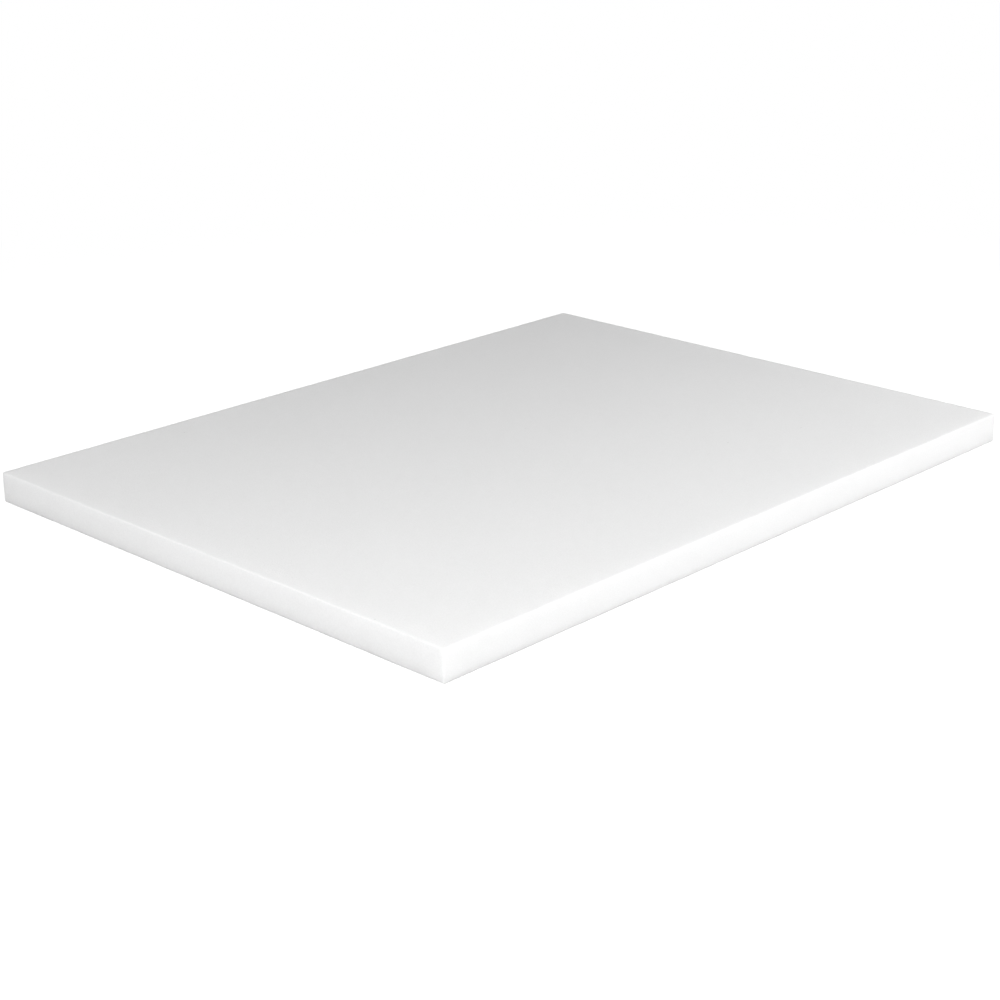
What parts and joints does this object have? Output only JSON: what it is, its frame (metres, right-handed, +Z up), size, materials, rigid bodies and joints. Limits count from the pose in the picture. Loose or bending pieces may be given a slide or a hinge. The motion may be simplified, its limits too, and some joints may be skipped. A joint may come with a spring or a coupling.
{
  "type": "cutting board",
  "caption": "Flat rectangular white polyethylene slab with square sides and lightly eased edges, laid on a counter to cut food on.",
  "frame": {"origin": "middle of the underside, on the surface that the board lies on", "axes": "+X along the board's length, +Y along its width away from the front long side, +Z up out of the work face"},
  "size_m": [0.508, 0.381, 0.0191],
  "materials": {
    "white_polyethylene": "solid-coloured white sheet, satin, with a very fine pressed grain on both faces"
  },
  "bodies": {
    "root": {"board": "white_polyethylene"}
  },
  "joints": []
}
